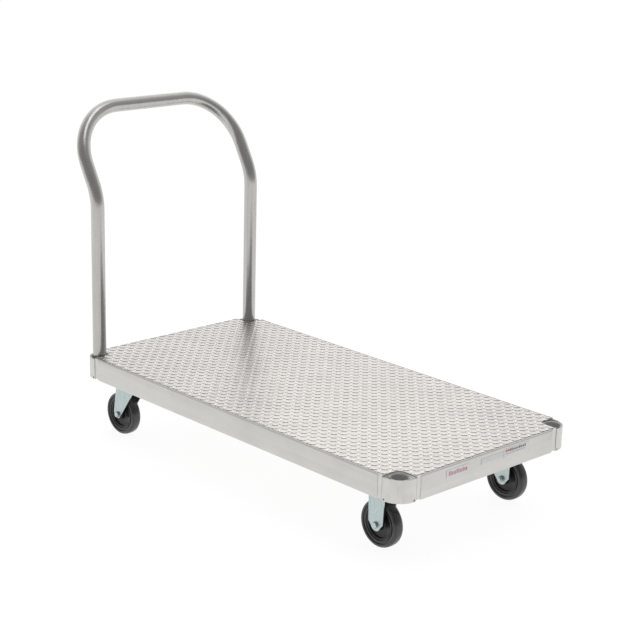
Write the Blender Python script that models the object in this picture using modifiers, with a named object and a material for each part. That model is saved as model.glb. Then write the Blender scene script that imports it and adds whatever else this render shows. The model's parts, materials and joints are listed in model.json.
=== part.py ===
"""A flat platform cart with a lift-out tube handle, two swivel and two rigid casters.

Metres, +Z up, floor at Z = 0. +X is the front, the handle stands at the rear end.
Seen by a person pushing the cart, right is -Y and left is +Y.
"""

import math

import bmesh
import bpy
from mathutils import Matrix, Vector

GAP = 0.0003

# Platform
DECK_LENGTH = 1.2192
DECK_WIDTH = 0.6096
PLATE_THICKNESS = 0.0030
PLATE_INSET = 0.0058
NOTCH_CLEARANCE = 0.0025
NOTCH_FILLET = 0.0180

# Edge rails
RAIL_HEIGHT = 0.0605
RAIL_WALL = 0.0045
RAIL_TOP_RADIUS = 0.0038
RAIL_LEDGE_REACH = 0.0300
RAIL_LEDGE_THICKNESS = 0.0030
RAIL_FOOT_REACH = 0.0120
RAIL_FOOT_THICKNESS = 0.0030

# Corner castings
CORNER_RADIUS = 0.0490
CORNER_WALL = 0.0045
CORNER_RIM_DROP = 0.0040
SHOULDER_LENGTH = 0.0145
SHOULDER_RECESS = 0.0008
SHOULDER_RISE = 0.0030
SEAM_WIDTH = 0.0014
SEAM_DEPTH = 0.0022
TONGUE_LENGTH = 0.0280
TONGUE_CLEARANCE = 0.0066
TONGUE_WALL = 0.0040
SOCKET_CLEARANCE = 0.0019
SOCKET_WALL = 0.0040
SOCKET_FLOOR = 0.0030
SOCKET_DRAIN_RADIUS = 0.0140
SOCKET_STANDOFF = 0.00115
RIVET_HOLE_RADIUS = 0.0024
RIVET_HOLE_INSET = 0.0060
RIVET_HOLE_HEIGHT = 0.0042

# Frame under the deck
CHANNEL_WIDTH = 0.1040
CHANNEL_WALL = 0.0040
CROSS_WIDTH = 0.0400
CROSS_HEIGHT = 0.0340
CROSS_WALL = 0.0030
CROSS_COUNT = 3

# Handle
TUBE_RADIUS = 0.0184
TUBE_WALL = 0.0025
LEG_STRAIGHT = 0.4624
LEAN_ANGLE = math.radians(30.0)
LEAN_RADIUS = 0.1400
LEAN_TO_TOP = 0.2848
TOP_BEND_RADIUS = 0.1556

# Casters
CASTER_END_INSET = 0.1281
RIGID_SIDE_INSET = 0.0798
SWIVEL_SIDE_INSET = 0.0686
WHEEL_RADIUS = 0.0592
WHEEL_CLEARANCE = 0.0236
TREAD_WIDTH = 0.0290
TYRE_BASE_RADIUS = 0.0395
TYRE_SIDE_CLEARANCE = 0.0045
HUB_WALL = 0.0095
HUB_CLEARANCE = 0.0015
BUSH_WALL = 0.0018
BUSH_CLEARANCE = 0.0004
AXLE_RADIUS = 0.0048
AXLE_HEAD_FLATS = 0.0143
AXLE_HEAD_HEIGHT = 0.0055
NUT_HEIGHT = 0.0068
AXLE_THREAD_TAIL = 0.0020
PLATE_LENGTH = 0.0921
PLATE_WIDTH = 0.0603
PLATE_CORNER = 0.0080
MOUNT_PLATE_THICKNESS = 0.0030
BOLT_SPACING_X = 0.0746
BOLT_SPACING_Y = 0.0445
BOLT_HOLE_RADIUS = 0.0044
FORK_WALL = 0.0025
FORK_BEND_RADIUS = 0.0060
RIGID_LEG_TOP = 0.0535
RIGID_LEG_LOW = 0.0470
LEG_TIP_RADIUS = 0.0152
SWIVEL_TRAIL = 0.0324
SWIVEL_TURN = math.radians(2.0)
SWIVEL_LEG_TOP = 0.0760
SWIVEL_LEG_LOW = 0.0330
SWIVEL_TIP_RADIUS = 0.0110
SWIVEL_DROP = 0.0125
RACE_RADIUS = 0.0265
RACE_CLEARANCE = 0.0028
CUP_RADIUS = 0.0150
CUP_HEIGHT = 0.0045
KINGPIN_RADIUS = 0.0062
KINGPIN_HEAD_RADIUS = 0.0095
KINGPIN_HEAD_HEIGHT = 0.0050

# Front labels
LABEL_THICKNESS = 0.0003
SMALL_LABEL_WIDTH = 0.0765
SMALL_LABEL_HEIGHT = 0.0200
SMALL_LABEL_Y = -0.1118
SMALL_LABEL_DROP = 0.0205
CLEAR_LABEL_WIDTH = 0.0800
CLEAR_LABEL_HEIGHT = 0.0140
CLEAR_LABEL_Y = 0.0100
CLEAR_LABEL_DROP = 0.0188
MARKED_LABEL_WIDTH = 0.0930
MARKED_LABEL_HEIGHT = 0.0230
MARKED_LABEL_Y = 0.0985
MARKED_LABEL_DROP = 0.0190

# Fineness of round shapes
TUBE_SIDES = 16
WHEEL_STEPS = 32
SMALL_STEPS = 20
SOCKET_STEPS = 28
ARC_STEP = math.radians(7.5)

# Derived, from the floor up
FORK_INNER_WIDTH = TREAD_WIDTH + 2 * TYRE_SIDE_CLEARANCE
LEG_INNER = FORK_INNER_WIDTH / 2
LEG_OUTER = LEG_INNER + FORK_WALL
BUSH_BORE_RADIUS = AXLE_RADIUS + BUSH_CLEARANCE
BUSH_RADIUS = BUSH_BORE_RADIUS + BUSH_WALL
HUB_RADIUS = BUSH_RADIUS + HUB_WALL
RACE_BORE_RADIUS = KINGPIN_RADIUS + RACE_CLEARANCE
SWIVEL_CROWN_UNDER = 2 * WHEEL_RADIUS + WHEEL_CLEARANCE
SWIVEL_CROWN_TOP = SWIVEL_CROWN_UNDER + FORK_WALL
MOUNT_UNDER = SWIVEL_CROWN_TOP + SWIVEL_DROP
MOUNT_TOP = MOUNT_UNDER + MOUNT_PLATE_THICKNESS
RAIL_BOTTOM = MOUNT_TOP + GAP
RAIL_FOOT_TOP = RAIL_BOTTOM + RAIL_FOOT_THICKNESS
DECK_TOP = RAIL_BOTTOM + RAIL_HEIGHT
PLATE_UNDER = DECK_TOP - PLATE_THICKNESS
LEDGE_TOP = PLATE_UNDER - GAP
LEDGE_UNDER = LEDGE_TOP - RAIL_LEDGE_THICKNESS
TONGUE_LOW = RAIL_FOOT_TOP + TONGUE_CLEARANCE
TONGUE_TOP = LEDGE_UNDER - TONGUE_CLEARANCE
CORNER_TOP = DECK_TOP - CORNER_RIM_DROP
CORNER_BOTTOM = RAIL_BOTTOM
SOCKET_REST = CORNER_BOTTOM + SOCKET_FLOOR
SOCKET_BORE_RADIUS = TUBE_RADIUS + SOCKET_CLEARANCE
SOCKET_OUTER_RADIUS = SOCKET_BORE_RADIUS + SOCKET_WALL
CORNER_BEND = CORNER_RADIUS * (math.sqrt(2.0) - 1)
SOCKET_INSET = (CORNER_BEND + CORNER_WALL + SOCKET_STANDOFF + SOCKET_BORE_RADIUS) / math.sqrt(2.0)
NOTCH_SIDE = SOCKET_INSET + SOCKET_BORE_RADIUS + NOTCH_CLEARANCE
CORNER_LEG = NOTCH_SIDE + SHOULDER_LENGTH
HALF_LENGTH = DECK_LENGTH / 2
HALF_WIDTH = DECK_WIDTH / 2
CASTER_X = HALF_LENGTH - CASTER_END_INSET
RIGID_Y = HALF_WIDTH - RIGID_SIDE_INSET
SWIVEL_Y = HALF_WIDTH - SWIVEL_SIDE_INSET
CROSS_SPACING = 2 * CASTER_X / (CROSS_COUNT + 1)
HANDLE_FOOT = SOCKET_REST + GAP
HANDLE_X = -HALF_LENGTH + SOCKET_INSET
HANDLE_Y = HALF_WIDTH - SOCKET_INSET
LEAN_START = HANDLE_FOOT + LEG_STRAIGHT
LEAN_REACH = LEAN_RADIUS * (1 - math.cos(LEAN_ANGLE))
SLOPE_LENGTH = LEAN_TO_TOP - LEAN_RADIUS * LEAN_ANGLE
HANDLE_BACK = -HANDLE_X + LEAN_REACH + SLOPE_LENGTH * math.sin(LEAN_ANGLE) + TUBE_RADIUS
LABEL_FRONT = HALF_LENGTH + GAP + LABEL_THICKNESS
ORIGIN_SHIFT = (HANDLE_BACK - LABEL_FRONT) / 2

ALUMINIUM = ((0.80, 0.80, 0.79), 0.34, 1.0)
CAST_ALUMINIUM = ((0.74, 0.74, 0.73), 0.42, 1.0)
ZINC = ((0.66, 0.70, 0.73), 0.30, 1.0)
BLACK_CORE = ((0.030, 0.030, 0.032), 0.45, 0.0)
BLACK_RUBBER = ((0.018, 0.018, 0.019), 0.60, 0.0)
LABEL_WHITE = ((0.86, 0.86, 0.84), 0.35, 0.0)


def clear_scene():
    for obj in list(bpy.data.objects):
        bpy.data.objects.remove(obj, do_unlink=True)


def new_collection(name, hidden):
    collection = bpy.data.collections.new(name)
    bpy.context.scene.collection.children.link(collection)
    collection.hide_render = hidden
    return collection


clear_scene()
PARTS = new_collection("platform_cart", False)
CUTTERS = new_collection("cutters", True)


def new_empty(name, location, parent, turn=0.0):
    empty = bpy.data.objects.new(name, None)
    empty.location = location
    empty.rotation_euler = (0.0, 0.0, turn)
    empty.parent = parent
    PARTS.objects.link(empty)
    return empty


ROOT = new_empty("cart_origin", (ORIGIN_SHIFT, 0.0, 0.0), None)


def new_material(name, look):
    colour, roughness, metallic = look
    material = bpy.data.materials.new(name)
    material.use_nodes = True
    shader = material.node_tree.nodes["Principled BSDF"]
    shader.inputs["Base Color"].default_value = (*colour, 1.0)
    shader.inputs["Roughness"].default_value = roughness
    shader.inputs["Metallic"].default_value = metallic
    material.diffuse_color = (*colour, 1.0)
    return material


def add_object(name, mesh, parent, look=None, location=(0.0, 0.0, 0.0), rotation=(0.0, 0.0, 0.0)):
    obj = bpy.data.objects.new(name, mesh)
    obj.location = location
    obj.rotation_euler = rotation
    obj.parent = parent
    if look is None:
        CUTTERS.objects.link(obj)
        obj.hide_render = True
        obj.display_type = "WIRE"
    else:
        PARTS.objects.link(obj)
        mesh.materials.append(new_material(name, look))
    return obj


def smooth(mesh, angle=math.radians(35.0)):
    mesh.shade_smooth()
    mesh.set_sharp_from_angle(angle=angle)


def box_mesh(name, low, high):
    mesh = bpy.data.meshes.new(name)
    bm = bmesh.new()
    size = Vector(high) - Vector(low)
    middle = (Vector(high) + Vector(low)) / 2
    bmesh.ops.create_cube(bm, size=1.0, matrix=Matrix.Translation(middle) @ Matrix.Diagonal((*size, 1.0)))
    bm.to_mesh(mesh)
    bm.free()
    return mesh


def cylinder_mesh(name, radius, low, high, steps=SMALL_STEPS):
    mesh = bpy.data.meshes.new(name)
    bm = bmesh.new()
    place = Matrix.Translation((0.0, 0.0, (low + high) / 2))
    bmesh.ops.create_cone(
        bm, cap_ends=True, segments=steps, radius1=radius, radius2=radius, depth=high - low, matrix=place
    )
    bm.to_mesh(mesh)
    bm.free()
    smooth(mesh)
    return mesh


def mesh_from_curve(name, curve):
    holder = bpy.data.objects.new(name + "_outline", curve)
    bpy.context.scene.collection.objects.link(holder)
    graph = bpy.context.evaluated_depsgraph_get()
    mesh = bpy.data.meshes.new_from_object(holder.evaluated_get(graph))
    bpy.data.objects.remove(holder, do_unlink=True)
    bpy.data.curves.remove(curve)
    bm = bmesh.new()
    bm.from_mesh(mesh)
    bmesh.ops.remove_doubles(bm, verts=bm.verts, dist=1e-6)
    bm.to_mesh(mesh)
    bm.free()
    mesh.materials.clear()
    return mesh


def outline_mesh(name, points, low, high):
    """A flat outline in X and Y, thickened from Z = low to Z = high."""
    curve = bpy.data.curves.new(name, "CURVE")
    curve.dimensions = "2D"
    curve.fill_mode = "BOTH"
    curve.extrude = (high - low) / 2
    spline = curve.splines.new("POLY")
    spline.points.add(len(points) - 1)
    for point, (x, y) in zip(spline.points, points):
        point.co = (x, y, 0.0, 1.0)
    spline.use_cyclic_u = True
    mesh = mesh_from_curve(name, curve)
    mesh.transform(Matrix.Translation((0.0, 0.0, (low + high) / 2)))
    return mesh


def turned(name, profile, parent, look, steps, closed, location=(0.0, 0.0, 0.0), rotation=(0.0, 0.0, 0.0)):
    """A profile of (radius, height) points turned about Z."""
    mesh = bpy.data.meshes.new(name)
    edges = [(i, i + 1) for i in range(len(profile) - 1)]
    if closed:
        edges.append((len(profile) - 1, 0))
    mesh.from_pydata([(radius, 0.0, height) for radius, height in profile], edges, [])
    obj = add_object(name, mesh, parent, look, location, rotation)
    screw = obj.modifiers.new("turn", "SCREW")
    screw.axis = "Z"
    screw.steps = steps
    screw.render_steps = steps
    screw.use_merge_vertices = True
    screw.merge_threshold = 1e-5
    screw.use_smooth_shade = True
    return obj


def combine(obj, other, operation):
    modifier = obj.modifiers.new(other.name, "BOOLEAN")
    modifier.operation = operation
    modifier.solver = "EXACT"
    modifier.object = other


def arc(centre, radius, start, end, steps):
    """Points along an arc in the plane, both ends included."""
    return [
        (
            centre[0] + radius * math.cos(start + (end - start) * i / steps),
            centre[1] + radius * math.sin(start + (end - start) * i / steps),
        )
        for i in range(steps + 1)
    ]


# ---------------------------------------------------------------- platform


def notched_quarter():
    """One quarter of the deck outline as (x, y) sizes, from the long edge round to the end edge."""
    x = HALF_LENGTH - PLATE_INSET
    y = HALF_WIDTH - PLATE_INSET
    cut_x = HALF_LENGTH - NOTCH_SIDE
    cut_y = HALF_WIDTH - NOTCH_SIDE
    centre = (cut_x + NOTCH_FILLET, cut_y + NOTCH_FILLET)
    inner = arc(centre, NOTCH_FILLET, math.pi, 1.5 * math.pi, 6)
    return [(cut_x, y), *inner, (x, cut_y)]


def deck_outline():
    quarter = notched_quarter()
    points = list(quarter)
    points += [(x, -y) for x, y in reversed(quarter)]
    points += [(-x, -y) for x, y in quarter]
    points += [(-x, y) for x, y in reversed(quarter)]
    return points


def build_deck():
    mesh = outline_mesh("deck_plate", deck_outline(), PLATE_UNDER, DECK_TOP)
    add_object("deck_plate", mesh, ROOT, ALUMINIUM)


def rail_section():
    """The rail's section as (inward, up) points: rounded outer wall, ledge under the deck plate, small foot."""
    top_bend = arc((RAIL_TOP_RADIUS, DECK_TOP - RAIL_TOP_RADIUS), RAIL_TOP_RADIUS, math.pi / 2, math.pi, 4)
    return [
        (0.0, RAIL_BOTTOM),
        (RAIL_FOOT_REACH, RAIL_BOTTOM),
        (RAIL_FOOT_REACH, RAIL_FOOT_TOP),
        (RAIL_WALL, RAIL_FOOT_TOP),
        (RAIL_WALL, LEDGE_UNDER),
        (RAIL_LEDGE_REACH, LEDGE_UNDER),
        (RAIL_LEDGE_REACH, LEDGE_TOP),
        (RAIL_WALL, LEDGE_TOP),
        (RAIL_WALL, DECK_TOP),
        *top_bend,
    ]


def build_rail(name, half_run, half_reach, turn):
    """A rail of the given half length, its outer face at half_reach from the centre, turned about Z."""
    mesh = outline_mesh(name, rail_section(), -half_run, half_run)
    # The section's inward axis becomes +Y and its up axis +Z, so the rail lies along X.
    mesh.transform(Matrix(((0, 0, 1, 0), (1, 0, 0, 0), (0, 1, 0, 0), (0, 0, 0, 1))))
    mesh.transform(Matrix.Translation((0.0, -half_reach, 0.0)))
    return add_object(name, mesh, ROOT, ALUMINIUM, rotation=(0.0, 0.0, turn))


def build_rails():
    side_run = HALF_LENGTH - CORNER_LEG - GAP
    end_run = HALF_WIDTH - CORNER_LEG - GAP
    build_rail("side_rail_right", side_run, HALF_WIDTH, 0.0)
    build_rail("side_rail_left", side_run, HALF_WIDTH, math.pi)
    build_rail("end_rail_front", end_run, HALF_LENGTH, math.pi / 2)
    build_rail("end_rail_rear", end_run, HALF_LENGTH, -math.pi / 2)


def corner_wall_outline():
    """The outer wall in the corner's own plane: origin at the outer corner, both axes inward."""
    steps = 10
    outer = arc((CORNER_RADIUS, CORNER_RADIUS), CORNER_RADIUS, math.pi, 1.5 * math.pi, steps)
    inner_radius = CORNER_RADIUS - CORNER_WALL
    inner = arc((CORNER_RADIUS, CORNER_RADIUS), inner_radius, 1.5 * math.pi, math.pi, steps)
    return [
        (0.0, CORNER_LEG),
        *outer,
        (CORNER_LEG, 0.0),
        (CORNER_LEG, CORNER_WALL),
        *inner,
        (CORNER_WALL, CORNER_LEG),
    ]


def socket_profile():
    return [
        (SOCKET_OUTER_RADIUS, CORNER_TOP),
        (SOCKET_OUTER_RADIUS, CORNER_BOTTOM),
        (SOCKET_DRAIN_RADIUS, CORNER_BOTTOM),
        (SOCKET_DRAIN_RADIUS, SOCKET_REST),
        (SOCKET_BORE_RADIUS, SOCKET_REST),
        (SOCKET_BORE_RADIUS, CORNER_TOP),
    ]


def both_ways(low, high):
    """A box along the first leg and its mirror image along the second."""
    swapped = ((low[1], low[0], low[2]), (high[1], high[0], high[2]))
    return (low, high), swapped


def tongue_boxes():
    """The two tongues that reach behind the rails' walls, as low and high corners."""
    near = RAIL_WALL + GAP
    root = CORNER_LEG - CORNER_WALL
    tip = CORNER_LEG + TONGUE_LENGTH
    return both_ways((root, near, TONGUE_LOW), (tip, near + TONGUE_WALL, TONGUE_TOP))


def pad_boxes():
    """Thickens the wall's ends so that each tongue grows out of solid metal."""
    deep = RAIL_WALL + GAP + TONGUE_WALL
    start = CORNER_LEG - 3 * CORNER_WALL
    return both_ways((start, CORNER_WALL / 2, TONGUE_LOW), (CORNER_LEG, deep, TONGUE_TOP))


def cut_boxes():
    """The lowered rim round the socket, and each leg's recessed shoulder, its groove and raised foot."""
    over = CORNER_WALL
    end = CORNER_LEG + over
    low = (NOTCH_SIDE, -over, CORNER_BOTTOM - over)
    rim = ((-over, -over, CORNER_TOP), (NOTCH_SIDE, NOTCH_SIDE, DECK_TOP + over))
    face = both_ways(low, (end, SHOULDER_RECESS, DECK_TOP + over))
    groove = both_ways(low, (NOTCH_SIDE + SEAM_WIDTH, SEAM_DEPTH, DECK_TOP + over))
    foot = both_ways(low, (end, 2 * over, CORNER_BOTTOM + SHOULDER_RISE))
    return (rim, *face, *groove, *foot)


def rivet_holes():
    """One hole through the foot of each leg's wall, just inside the shoulder."""
    inset = NOTCH_SIDE - RIVET_HOLE_INSET
    height = CORNER_BOTTOM + RIVET_HOLE_HEIGHT
    places = (
        ((inset, 0.0, height), (-math.pi / 2, 0.0, 0.0)),
        ((0.0, inset, height), (0.0, math.pi / 2, 0.0)),
    )
    holes = []
    for index, (place, turn) in enumerate(places):
        mesh = cylinder_mesh("corner_rivet", RIVET_HOLE_RADIUS, -CORNER_WALL, 2 * CORNER_WALL)
        holes.append(add_object(f"corner_rivet_{index}", mesh, None, location=place, rotation=turn))
    return holes


def corner_mesh():
    """The corner casting, unioned and cut, with its outer corner at the origin and both axes inward."""
    wall = outline_mesh("corner_wall", corner_wall_outline(), CORNER_BOTTOM, DECK_TOP)
    body = add_object("corner_casting", wall, None)
    additions = []
    socket = turned("corner_socket", socket_profile(), None, None, SOCKET_STEPS, True)
    socket.location = (SOCKET_INSET, SOCKET_INSET, 0.0)
    bore_mesh = cylinder_mesh("corner_bore", SOCKET_BORE_RADIUS, SOCKET_REST, DECK_TOP, SOCKET_STEPS)
    bore = add_object("corner_bore", bore_mesh, None)
    bore.location = socket.location
    for index, (low, high) in enumerate((*tongue_boxes(), *pad_boxes())):
        additions.append(add_object(f"corner_lug_{index}", box_mesh("corner_lug", low, high), None))
    cuts = [bore, *rivet_holes()]
    for index, (low, high) in enumerate(cut_boxes()):
        cuts.append(add_object(f"corner_cut_{index}", box_mesh("corner_cut", low, high), None))
    for other in additions:
        combine(body, other, "UNION")
    combine(body, socket, "UNION")
    for other in cuts:
        combine(body, other, "DIFFERENCE")
    bpy.context.view_layer.update()
    graph = bpy.context.evaluated_depsgraph_get()
    mesh = bpy.data.meshes.new_from_object(body.evaluated_get(graph))
    for obj in [body, socket, *additions, *cuts]:
        bpy.data.objects.remove(obj, do_unlink=True)
    mesh.materials.clear()
    smooth(mesh)
    return mesh


def build_corners():
    shape = corner_mesh()
    places = {
        "corner_front_right": (1, -1),
        "corner_front_left": (1, 1),
        "corner_rear_right": (-1, -1),
        "corner_rear_left": (-1, 1),
    }
    for name, (end, side) in places.items():
        mesh = shape.copy()
        mesh.name = name
        mesh.transform(Matrix.Diagonal((-end, -side, 1.0, 1.0)))
        if end * side < 0:
            mesh.flip_normals()
        mesh.transform(Matrix.Translation((end * HALF_LENGTH, side * HALF_WIDTH, 0.0)))
        add_object(name, mesh, ROOT, CAST_ALUMINIUM)


def cut_for_ledges(obj, tag, x, half_x):
    """Clears the side rails' ledges from a member that runs across under the deck."""
    for side in (-1, 1):
        near = HALF_WIDTH - RAIL_LEDGE_REACH - GAP
        ends = sorted((side * near, side * HALF_WIDTH))
        mesh = box_mesh(tag, (x - half_x, ends[0], LEDGE_UNDER - GAP), (x + half_x, ends[1], DECK_TOP))
        cutter = add_object(f"{tag}_{side}", mesh, ROOT)
        combine(obj, cutter, "DIFFERENCE")


def across_mesh(name, section, x, half_run):
    """A section of (x, z) points run across the cart."""
    mesh = outline_mesh(name, section, -half_run, half_run)
    mesh.transform(Matrix(((1, 0, 0, x), (0, 0, -1, 0), (0, 1, 0, 0), (0, 0, 0, 1))))
    return mesh


def build_cross_members():
    half = CROSS_WIDTH / 2
    top = PLATE_UNDER - GAP
    low = top - CROSS_HEIGHT
    section = [
        (-half, low),
        (-half, top),
        (half, top),
        (half, low),
        (half - CROSS_WALL, low),
        (half - CROSS_WALL, top - CROSS_WALL),
        (-half + CROSS_WALL, top - CROSS_WALL),
        (-half + CROSS_WALL, low),
    ]
    run = HALF_WIDTH - RAIL_WALL - GAP
    for index in range(CROSS_COUNT):
        x = (index - (CROSS_COUNT - 1) / 2) * CROSS_SPACING
        name = f"cross_member_{index + 1}"
        obj = add_object(name, across_mesh(name, section, x, run), ROOT, ALUMINIUM)
        cut_for_ledges(obj, f"{name}_ledge", x, CROSS_WIDTH)


def bolt_places():
    return [
        (along * BOLT_SPACING_X / 2, across * BOLT_SPACING_Y / 2)
        for along in (-1, 1)
        for across in (-1, 1)
    ]


def build_caster_channels():
    half = CHANNEL_WIDTH / 2
    top = PLATE_UNDER - GAP
    floor = RAIL_BOTTOM + CHANNEL_WALL
    section = [
        (-half, RAIL_BOTTOM),
        (half, RAIL_BOTTOM),
        (half, top),
        (half - CHANNEL_WALL, top),
        (half - CHANNEL_WALL, floor),
        (-half + CHANNEL_WALL, floor),
        (-half + CHANNEL_WALL, top),
        (-half, top),
    ]
    run = HALF_WIDTH - RAIL_FOOT_REACH - GAP
    channels = (("caster_channel_front", CASTER_X, RIGID_Y), ("caster_channel_rear", -CASTER_X, SWIVEL_Y))
    for name, x, caster_y in channels:
        obj = add_object(name, across_mesh(name, section, x, run), ROOT, ALUMINIUM)
        cut_for_ledges(obj, f"{name}_ledge", x, CHANNEL_WIDTH)
        for side in (-1, 1):
            for index, (along, across) in enumerate(bolt_places()):
                mesh = cylinder_mesh("channel_hole", BOLT_HOLE_RADIUS, RAIL_BOTTOM - GAP, floor + GAP)
                cutter = add_object(f"{name}_hole_{side}_{index}", mesh, ROOT)
                cutter.location = (x + along, side * caster_y + across, 0.0)
                combine(obj, cutter, "DIFFERENCE")


# ------------------------------------------------------------------ handle


def handle_path():
    """The tube's centre line: up one leg, back over the lean, round the top and down the other."""
    flat = [(-HANDLE_Y, 0.0)]
    start = LEAN_START - HANDLE_FOOT
    steps = max(1, round(LEAN_ANGLE / ARC_STEP))
    lean = [start + LEAN_RADIUS * LEAN_ANGLE * i / steps for i in range(steps + 1)]
    total = start + LEAN_TO_TOP
    turn = max(2, round(math.pi / 2 / ARC_STEP))
    centre = (-HANDLE_Y + TOP_BEND_RADIUS, total - TOP_BEND_RADIUS)
    corner = arc(centre, TOP_BEND_RADIUS, math.pi, math.pi / 2, turn)
    flat += [(-HANDLE_Y, s) for s in lean if s < total - TOP_BEND_RADIUS - GAP]
    flat += corner
    flat += [(-y, s) for y, s in reversed(flat)]
    points = []
    for y, s in flat:
        over = s - start
        if over <= 0:
            x, z = 0.0, s
        elif over <= LEAN_RADIUS * LEAN_ANGLE:
            x = -LEAN_RADIUS * (1 - math.cos(over / LEAN_RADIUS))
            z = start + LEAN_RADIUS * math.sin(over / LEAN_RADIUS)
        else:
            rest = over - LEAN_RADIUS * LEAN_ANGLE
            x = -LEAN_REACH - rest * math.sin(LEAN_ANGLE)
            z = start + LEAN_RADIUS * math.sin(LEAN_ANGLE) + rest * math.cos(LEAN_ANGLE)
        points.append((x, y, z))
    return points


def build_handle():
    holder = new_empty("handle_axis", (HANDLE_X, 0.0, HANDLE_FOOT), ROOT)
    curve = bpy.data.curves.new("handle_tube", "CURVE")
    curve.dimensions = "3D"
    curve.fill_mode = "FULL"
    curve.bevel_depth = TUBE_RADIUS
    curve.bevel_resolution = TUBE_SIDES // 4 - 1
    curve.use_fill_caps = False
    points = handle_path()
    spline = curve.splines.new("POLY")
    spline.points.add(len(points) - 1)
    for point, place in zip(spline.points, points):
        point.co = (*place, 1.0)
    mesh = mesh_from_curve("handle_tube", curve)
    smooth(mesh)
    obj = add_object("handle_tube", mesh, holder, ALUMINIUM)
    wall = obj.modifiers.new("wall", "SOLIDIFY")
    wall.thickness = TUBE_WALL
    wall.offset = -1.0
    wall.use_even_offset = True


# ----------------------------------------------------------------- casters


def tyre_profile():
    """The tyre's section as (radius, height) points, top side first, down the outer side."""
    half = TREAD_WIDTH / 2
    band = WHEEL_RADIUS - TYRE_BASE_RADIUS
    shoulder = band * 0.30
    return [
        (TYRE_BASE_RADIUS, half * 0.70),
        (TYRE_BASE_RADIUS + band * 0.24, half * 0.70),
        (TYRE_BASE_RADIUS + band * 0.32, half * 0.94),
        (WHEEL_RADIUS - shoulder, half),
        (WHEEL_RADIUS - shoulder * 0.38, half * 0.84),
        (WHEEL_RADIUS - shoulder * 0.08, half * 0.50),
        (WHEEL_RADIUS, 0.0),
        (WHEEL_RADIUS - shoulder * 0.08, -half * 0.50),
        (WHEEL_RADIUS - shoulder * 0.38, -half * 0.84),
        (WHEEL_RADIUS - shoulder, -half),
        (TYRE_BASE_RADIUS + band * 0.32, -half * 0.94),
        (TYRE_BASE_RADIUS + band * 0.24, -half * 0.70),
        (TYRE_BASE_RADIUS, -half * 0.70),
    ]


def core_profile():
    """The wheel core's section: hub, thin web and rim."""
    rim = TYRE_BASE_RADIUS - GAP
    rim_half = TREAD_WIDTH * 0.35
    web_half = TREAD_WIDTH * 0.17
    hub_half = LEG_INNER - HUB_CLEARANCE
    bore = BUSH_RADIUS + GAP
    upper = [
        (bore, hub_half),
        (HUB_RADIUS - FORK_WALL, hub_half),
        (HUB_RADIUS, web_half),
        (rim - FORK_WALL * 1.6, web_half),
        (rim - FORK_WALL, rim_half),
        (rim, rim_half),
    ]
    lower = [(radius, -height) for radius, height in reversed(upper)]
    return upper + lower


def bush_profile():
    half = LEG_INNER - GAP
    return [
        (BUSH_RADIUS, half),
        (BUSH_RADIUS, -half),
        (BUSH_BORE_RADIUS, -half),
        (BUSH_BORE_RADIUS, half),
    ]


def hexagon(flats):
    radius = flats / math.sqrt(3)
    return [(radius * math.cos(i * math.pi / 3), radius * math.sin(i * math.pi / 3)) for i in range(6)]


def build_axle(prefix, parent):
    """The axle bolt, its head on the outboard leg, and the lock nut on the other one."""
    tail = -LEG_OUTER - GAP - NUT_HEIGHT - AXLE_THREAD_TAIL
    face = LEG_OUTER + GAP
    head = outline_mesh(f"{prefix}_axle_bolt", hexagon(AXLE_HEAD_FLATS), face, face + AXLE_HEAD_HEIGHT)
    lie_along_y = (math.pi / 2, 0.0, 0.0)
    bolt = add_object(f"{prefix}_axle_bolt", head, parent, ZINC, rotation=lie_along_y)
    shank = add_object(
        f"{prefix}_shank",
        cylinder_mesh(f"{prefix}_shank", AXLE_RADIUS, tail, face + AXLE_HEAD_HEIGHT / 2),
        parent,
        rotation=lie_along_y,
    )
    combine(bolt, shank, "UNION")
    nut_mesh = outline_mesh(
        f"{prefix}_axle_nut", hexagon(AXLE_HEAD_FLATS), -LEG_OUTER - GAP - NUT_HEIGHT, -LEG_OUTER - GAP
    )
    nut = add_object(f"{prefix}_axle_nut", nut_mesh, parent, ZINC, rotation=lie_along_y)
    hole = add_object(
        f"{prefix}_nut_bore",
        cylinder_mesh(f"{prefix}_nut_bore", AXLE_RADIUS + GAP, tail, -LEG_OUTER),
        parent,
        rotation=lie_along_y,
    )
    combine(nut, hole, "DIFFERENCE")


def build_wheel(prefix, parent):
    """Core and tyre on the wheel's own empty; the bush stays with the fork."""
    lie_along_y = (math.pi / 2, 0.0, 0.0)
    spin = new_empty(f"{prefix}_wheel_axis", (0.0, 0.0, 0.0), parent)
    turned(f"{prefix}_tyre", tyre_profile(), spin, BLACK_RUBBER, WHEEL_STEPS, True, rotation=lie_along_y)
    turned(f"{prefix}_wheel_core", core_profile(), spin, BLACK_CORE, WHEEL_STEPS, True, rotation=lie_along_y)
    turned(f"{prefix}_bush", bush_profile(), parent, ZINC, SMALL_STEPS, True, rotation=lie_along_y)


def rounded_rectangle(length, width, radius):
    points = []
    for index, (sx, sy) in enumerate(((1, 1), (-1, 1), (-1, -1), (1, -1))):
        centre = (sx * (length / 2 - radius), sy * (width / 2 - radius))
        points += arc(centre, radius, index * math.pi / 2, (index + 1) * math.pi / 2, 4)
    return points


def mount_plate(name, parent):
    """The caster's top plate with its four bolt holes, centred on the caster's own axis."""
    outline = rounded_rectangle(PLATE_LENGTH, PLATE_WIDTH, PLATE_CORNER)
    plate = add_object(name, outline_mesh(name, outline, MOUNT_UNDER, MOUNT_TOP), parent, ZINC)
    for index, (x, y) in enumerate(bolt_places()):
        mesh = cylinder_mesh("plate_hole", BOLT_HOLE_RADIUS, MOUNT_UNDER - GAP, MOUNT_TOP + GAP)
        hole = add_object(f"{name}_hole_{index}", mesh, parent)
        hole.location = (x, y, 0.0)
        combine(plate, hole, "DIFFERENCE")
    return plate


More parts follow.
